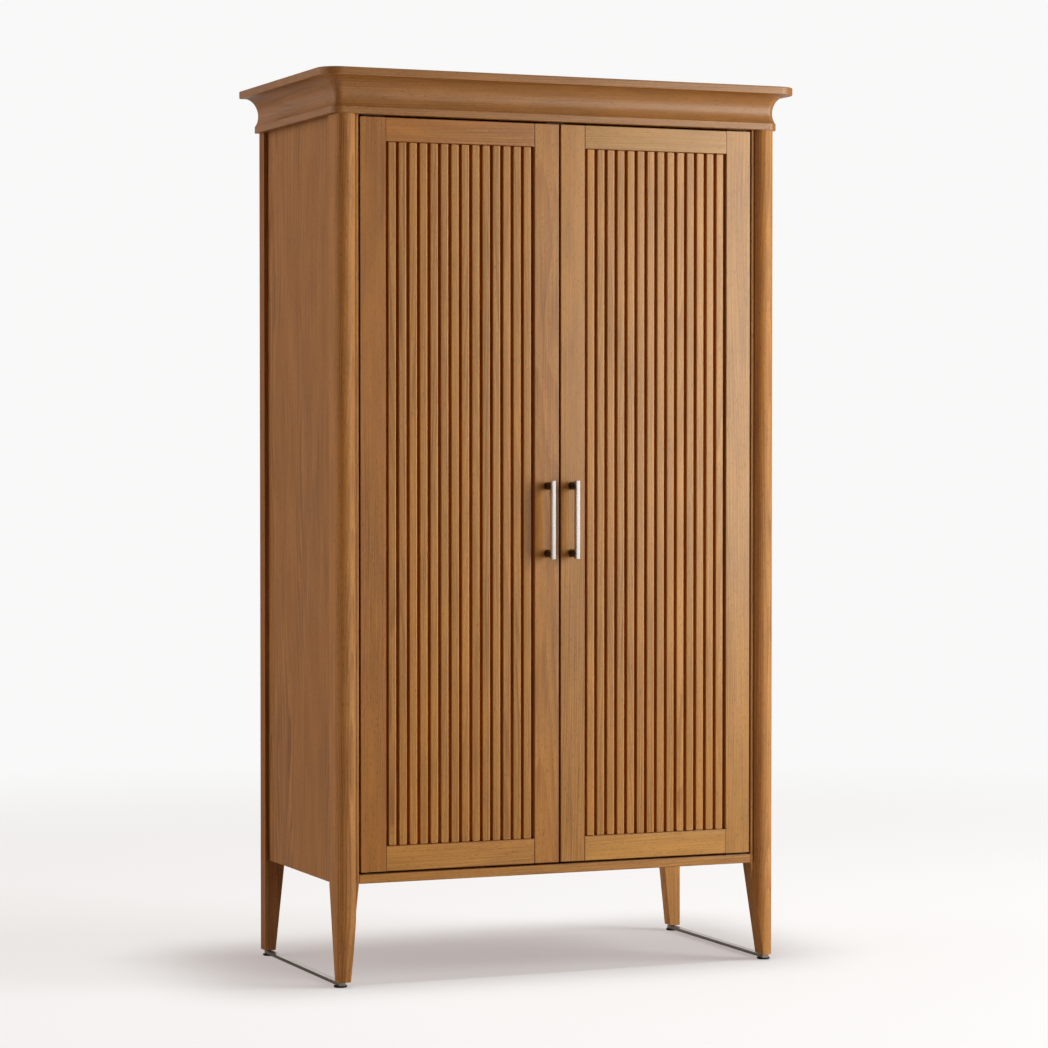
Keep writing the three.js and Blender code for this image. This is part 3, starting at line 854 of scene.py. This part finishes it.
@dataclass
class Carcass:
    """Posts, panels, boards and shelves."""

    ease: float = 0.0012
    thin_ease: float = 0.0006
    shelf_count: int = 4

    def outside(self) -> list[bpy.types.Object]:
        """The posts, the side panels and the rail under the doors.

        Returns:
            The pieces.
        """
        pieces = []
        for side in Side:
            for end in ("front", "rear"):
                # The front posts get a painted shade line in the inner corner beside their rounded
                # front.
                pieces.append(BENCH.eased_board(
                    f"post_{end}_{side.value}", CARCASS_WOOD, Grain.UPRIGHT, "carcass_wood",
                    self.ease, crease_shaded=end == "front"))
            pieces.append(BENCH.eased_board(
                f"side_panel_{side.value}", CARCASS_WOOD, Grain.UPRIGHT, "carcass_wood",
                self.thin_ease))
        pieces.append(BENCH.eased_board(
            "bottom_front_rail", DOOR_WOOD, Grain.ACROSS, "carcass_wood", self.ease))
        return pieces

    def inside(self) -> list[bpy.types.Object]:
        """The back panel, the boards inside, the shelves and their cleats.

        Returns:
            The pieces.
        """
        grains = {"back_panel": Grain.UPRIGHT, "bottom_board": Grain.ACROSS,
                  "inner_top_panel": Grain.ACROSS}
        for number in range(1, self.shelf_count + 1):
            grains[f"shelf_{number}"] = Grain.ACROSS
            for side in Side:
                grains[f"shelf_cleat_{side.value}_{number}"] = Grain.DEEP
        return [BENCH.eased_board(node, INSIDE_WOOD, grain, "inside_wood", self.thin_ease)
                for node, grain in grains.items()]

    def build(self) -> list[bpy.types.Object]:
        """Builds the carcass boards.

        Returns:
            The pieces.
        """
        return [*self.outside(), *self.inside()]


@dataclass
class Door:
    """One door: frame, slats on a thin board, handle and fittings."""

    side: Side
    frame_ease: float = 0.0013
    slat_count: int = 14
    slat_width: float = 0.016
    slat_ease: float = 0.0019
    slat_segments: int = 4
    slat_end_gap: float = 0.0003
    backing_thickness: float = 0.0057
    backing_ease: float = 0.0003
    bar_ease: float = 0.0016
    bar_segments: int = 4
    bar_end_ease: float = 0.0016 / 3
    bar_end_segments: int = 2
    post_edge_share: float = 0.1
    post_steps: int = 40

    @property
    def body(self) -> str:
        """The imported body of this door.

        Returns:
            The body's name.
        """
        return f"{self.side.value}_door"

    def _node(self, part: str) -> str:
        """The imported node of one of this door's parts.

        Args:
            part: the part.

        Returns:
            The node's name.
        """
        return f"{self.side.value}_{part}"

    def _box(self, part: str) -> tuple[Vector, Vector]:
        """The box of one of this door's parts.

        Args:
            part: the part.

        Returns:
            The lowest and the highest corner.
        """
        low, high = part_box(self._node(part))
        return Vector(low), Vector(high)

    def frame_boards(self) -> list[bpy.types.Object]:
        """The two stiles and two rails.

        Returns:
            The pieces.
        """
        grains = {"hinge_stile": Grain.UPRIGHT, "lock_stile": Grain.UPRIGHT,
                  "top_rail": Grain.ACROSS, "bottom_rail": Grain.ACROSS}
        return [BENCH.eased_board(self._node(part), DOOR_WOOD, grain, "door_wood", self.frame_ease)
                for part, grain in grains.items()]

    def slats(self) -> list[bpy.types.Object]:
        """The slats, each its own piece, spaced evenly between the stiles.

        Returns:
            The pieces.
        """
        low, high = self._box("slat_panel")
        stiles = sorted((self._box("hinge_stile"), self._box("lock_stile")),
                        key=lambda box: box[0].x)
        start, end = stiles[0][1].x, stiles[1][0].x
        bottom = self._box("bottom_rail")[1].z + self.slat_end_gap
        top = self._box("top_rail")[0].z - self.slat_end_gap
        behind = high.y - self.backing_thickness
        gap = (end - start - self.slat_count * self.slat_width) / (self.slat_count + 1)
        pieces = []
        for number in range(1, self.slat_count + 1):
            left = start + gap * number + self.slat_width * (number - 1)
            box = ((left, low.y, bottom), (left + self.slat_width, behind, top))
            bm = BENCH.block(*box)
            BENCH.ease(bm, self.slat_ease, self.slat_segments)
            name = self._node(f"slat_{number:02d}")
            # painted light by the door's side, plus each slat's own random tone
            darker = SLAT_SIDE_PAINTED_LIGHT[self.side] + random.Random(name).uniform(*SLAT_SPREAD)
            material = SLAT_WOOD.material(name, Grain.UPRIGHT, Look(darker), box)
            pieces.append(BENCH.finish(bm, name, self.body, "slat_wood", material,
                                       (self._node("slat_panel"),)))
        return pieces

    def backing(self) -> bpy.types.Object:
        """The thin board behind the slats, whose front shows in the slots.

        Returns:
            The board.
        """
        low, high = self._box("slat_panel")
        box = ((low.x, high.y - self.backing_thickness, low.z), (high.x, high.y, high.z))
        bm = BENCH.block(*box)
        BENCH.ease(bm, self.backing_ease)
        name = self._node("backing_board")
        board = BENCH.finish(bm, name, self.body, "slat_wood",
                             INSIDE_WOOD.material(name, Grain.UPRIGHT, box=box),
                             (self._node("slat_panel"),))
        # Painted shade: the front faces, seen only down in the slots, get the slot shade colour.
        board.data.materials.append(SLOT_PAINTED_SHADE.material(name, Grain.UPRIGHT, box=box))
        for face in board.data.polygons:
            face.material_index = int(face.normal.y < FACES_FRONT)
        return board

    def handle_bar(self) -> bpy.types.Object:
        """The handle's bar, with rounded edges.

        Returns:
            The bar.
        """
        bar = BENCH.block(*self._box("handle_bar"))
        upright = [edge for edge in bar.edges
                   if abs(edge.verts[0].co.z - edge.verts[1].co.z) > WELD]
        BENCH.rounded(bar, upright, self.bar_ease, self.bar_segments)
        ends = [edge for edge in bar.edges if edge.calc_face_angle(0.0) > SHARP_ANGLE]
        BENCH.rounded(bar, ends, self.bar_end_ease, self.bar_end_segments)
        return BENCH.finish(bar, self._node("pull_bar"), self.body, "handle_steel",
                            HANDLE_STEEL.material(), (self._node("handle_bar"),))

    def handle_post(self, end: str) -> bpy.types.Object:
        """One of the handle's two posts, turned about -Y.

        Args:
            end: upper or lower.

        Returns:
            The post.
        """
        part = f"handle_post_{end}"
        low, high = self._box(part)
        radius = (high.z - low.z) / 2
        length = high.y - low.y
        edge = radius * self.post_edge_share
        post = BENCH.turned(
            [(0.0, 0.0), (radius - edge, 0.0), (radius, edge), (radius, length - edge),
             (radius - edge, length), (0.0, length)], self.post_steps)
        centre = (low + high) / 2
        post.transform(Matrix.Translation((centre.x, low.y, centre.z))
                       @ Matrix.Rotation(-math.pi / 2, 4, "X"))
        return BENCH.finish(post, self._node(f"pull_post_{end}"), self.body, "handle_steel",
                            POST_STEEL.material(), (self._node(part),))

    def fittings(self) -> list[bpy.types.Object]:
        """Dresses the strike plate and the hinge leaves.

        Returns:
            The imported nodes.
        """
        parts = ("strike_plate", "door_leaf_top", "door_leaf_bottom", "frame_leaf_top",
                 "frame_leaf_bottom")
        return [BENCH.dress(self._node(part), HINGE_STEEL) for part in parts]

    def build(self) -> list[bpy.types.Object]:
        """Builds the whole door.

        Returns:
            The pieces.
        """
        return [*self.frame_boards(), *self.slats(), self.backing(), self.handle_bar(),
                self.handle_post("upper"), self.handle_post("lower"), *self.fittings()]


@dataclass
class Feet:
    """Floor bars and glides."""

    def build(self) -> list[bpy.types.Object]:
        """Dresses the bars and the glides.

        Returns:
            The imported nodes.
        """
        pieces = []
        for side in Side:
            pieces.append(BENCH.dress(f"floor_bar_{side.value}", BAR_STEEL))
            for end in ("front", "rear"):
                pieces.append(BENCH.dress(f"glide_{end}_{side.value}", GLIDE_PLASTIC))
        return pieces


@dataclass
class Catch:
    """The magnetic catch."""

    def build(self) -> list[bpy.types.Object]:
        """Dresses the catch.

        Returns:
            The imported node.
        """
        return [BENCH.dress("door_catch", CATCH_PLASTIC)]


@dataclass(frozen=True)
class Glow:
    """A soft bright area of the surroundings.

    It starts where the cosine of the angle to its middle is edge, and adds level in its middle.
    """

    toward: Triple
    edge: float
    level: float


@dataclass(frozen=True)
class Lamp:
    """A soft lamp that faces the cabinet and lights, or leaves out, what it reaches."""

    name: str
    place: Triple
    size: tuple[float, float]
    power: float
    reach: tuple[str, ...]
    state: str = "EXCLUDE"
    colour: Triple = (1.0, 1.0, 1.0)
    sheen_only: bool = False


BASE_LIGHT = (0.285, 0.226, 0.196)
GLOWS = (
    Glow((0.39, 0.92, 0.12), 0.88, 0.9),
    Glow((-1.0, 0.35, 0.1), 0.55, 1.85),
    Glow((-0.7, -0.7, 0.0), 0.4, -0.18),
)
PULLS = ("left_pull_bar", "right_pull_bar")
FLOOR_BARS = ("floor_bar_left", "floor_bar_right")
LAMPS = (
    Lamp("key", (3.1, -2.6, 1.35), (1.2, 3.3), 238.0, ("floor", *FLOOR_BARS, *PULLS),
         colour=(0.92, 1.0, 0.97)),
    Lamp("sheen", (2.25, -3.3, 1.5), (0.8, 2.0), 118.0, ("floor", *PULLS),
         colour=(1.0, 0.97, 0.88), sheen_only=True),
    Lamp("pull_light", (2.15, -3.3, 1.5), (1.6, 2.0), 21.0, PULLS, "INCLUDE", sheen_only=True),
    Lamp("ceiling", (0.2, -0.3, 10.0), (1.5, 1.1), 1030.0, ("floor",), "INCLUDE"),
    Lamp("floor_side", (5.2, -2.9, 2.6), (3.0, 5.0), 460.0, ("floor",), "INCLUDE"),
)


@dataclass
class Studio:
    """Camera, floor, lamps and surroundings."""

    camera_place: Triple = (-2.701545, -6.45377, 1.087923)
    camera_yaw: float = 22.8238
    camera_dip: float = 1.3996
    lens: float = 114.091
    sensor: float = 36.0
    aim: Triple = (0.0, -0.1, 0.95)
    backdrop: Colour = (0.945, 0.945, 0.942, 1.0)
    floor_reach: float = 9.0
    floor_steps: int = 96
    floor_colour: Colour = (0.37, 0.34, 0.305, 1.0)
    floor_seen: Colour = (0.508, 0.55, 0.555, 1.0)
    floor_shade: Colour = (0.98, 0.87, 0.845, 1.0)
    floor_glow: float = 0.4
    floor_fade: Ramp = Ramp(1.5, 4.5, 0.0, 1.0)

    def camera(self) -> None:
        """Adds the camera at the photograph's viewing angle."""
        data = bpy.data.cameras.new("camera")
        data.sensor_fit = "HORIZONTAL"
        data.sensor_width = self.sensor
        data.lens = self.lens
        camera = bpy.data.objects.new("camera", data)
        camera.location = self.camera_place
        camera.rotation_euler = (math.radians(90 - self.camera_dip), 0.0,
                                 math.radians(-self.camera_yaw))
        bpy.context.scene.collection.objects.link(camera)
        bpy.context.scene.camera = camera

    def lamp(self, plan: Lamp) -> None:
        """Adds a lamp.

        Args:
            plan: what it is like and where it stands.
        """
        data = bpy.data.lights.new(plan.name, "AREA")
        data.energy = plan.power
        data.color = plan.colour
        data.shape = "RECTANGLE"
        data.size, data.size_y = plan.size
        lamp = bpy.data.objects.new(plan.name, data)
        lamp.location = plan.place
        sight = Vector(self.aim) - Vector(plan.place)
        lamp.rotation_euler = sight.to_track_quat("-Z", "Y").to_euler()
        lamp.visible_diffuse = not plan.sheen_only
        bpy.context.scene.collection.objects.link(lamp)
        linked = bpy.data.collections.new(f"{plan.name}_reach")
        for name in plan.reach:
            linked.objects.link(bpy.data.objects[name])
        lamp.light_linking.receiver_collection = linked
        for member in linked.collection_objects:
            member.light_linking.link_state = plan.state

    def world(self) -> None:
        """Pale surroundings for the camera, and soft bright areas that light the rest."""
        world = bpy.data.worlds.new("studio")
        bpy.context.scene.world = world
        world.use_nodes = True
        world.node_tree.nodes.clear()
        bench = NodeBench(world.node_tree)
        path = bench.add("ShaderNodeLightPath").outputs
        sky = bench.add("ShaderNodeTexCoord").outputs["Generated"]
        level = 0.0
        for glow in GLOWS:
            inputs = {0: sky, 1: Vector(glow.toward).normalized()}
            near = bench.add("ShaderNodeVectorMath", inputs, operation="DOT_PRODUCT")
            lobe = bench.ranged(near.outputs["Value"], Ramp(glow.edge, 1.0, 0.0, glow.level))
            level = bench.math("ADD", level, lobe)
        parts = {k: bench.math("ADD", level, part) for k, part in enumerate(BASE_LIGHT)}
        light = bench.add("ShaderNodeCombineColor", parts).outputs[0]
        seen = bench.math("MAXIMUM", path["Is Camera Ray"], path["Is Transmission Ray"])
        plain = bench.mixed(seen, light, self.backdrop)
        back = bench.add("ShaderNodeBackground", {"Color": plain, "Strength": 1.0})
        bench.add("ShaderNodeOutputWorld", {"Surface": back.outputs[0]})

    def floor_material(self) -> bpy.types.Material:
        """The floor's finish: what the camera sees of it fades into the backdrop.

        Returns:
            The material.
        """
        material, bench = empty_material("floor")
        place = bench.add("ShaderNodeTexCoord").outputs["Object"]
        reach = bench.add("ShaderNodeVectorMath", {0: place}, operation="LENGTH")
        fade = bench.ranged(reach.outputs["Value"], self.floor_fade)
        seen = bench.add("ShaderNodeLightPath").outputs["Is Camera Ray"]
        colour = bench.mixed(seen, self.floor_colour, self.floor_seen)
        plain = bench.add("ShaderNodeBsdfDiffuse", {"Color": colour}).outputs[0]
        shade = bench.add("ShaderNodeEmission", {"Color": self.floor_shade}).outputs[0]
        clear = bench.add("ShaderNodeEmission", {"Color": self.backdrop}).outputs[0]
        share = bench.math("MULTIPLY", seen, self.floor_glow)
        near = bench.add("ShaderNodeMixShader", {0: share, 1: plain, 2: shade}).outputs[0]
        far = bench.math("MULTIPLY", fade, seen)
        mix = bench.add("ShaderNodeMixShader", {0: far, 1: near, 2: clear})
        bench.add("ShaderNodeOutputMaterial", {"Surface": mix.outputs[0]})
        return material

    def floor(self) -> None:
        """Adds the round floor."""
        bm = bmesh.new()
        bmesh.ops.create_circle(bm, cap_ends=True, segments=self.floor_steps,
                                radius=self.floor_reach)
        mesh = bpy.data.meshes.new("floor")
        bm.to_mesh(mesh)
        bm.free()
        mesh.materials.append(self.floor_material())
        floor = bpy.data.objects.new("floor", mesh)
        bpy.context.scene.collection.objects.link(floor)

    def build(self) -> None:
        """Builds the studio."""
        bpy.context.scene.view_settings.view_transform = "Standard"
        self.camera()
        self.world()
        self.floor()
        for plan in LAMPS:
            self.lamp(plan)


def main() -> None:
    """Builds the dressed cabinet and its studio, and reports each piece."""
    logging.basicConfig(level=logging.INFO, format="%(message)s")
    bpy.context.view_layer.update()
    for assembly in (Crown(), Carcass(), Door(Side.LEFT), Door(Side.RIGHT), Feet(), Catch()):
        for piece in assembly.build():
            LOG.info("%s: %s", type(assembly).__name__, piece.name)
    Studio().build()


if __name__ == "__main__":
    main()
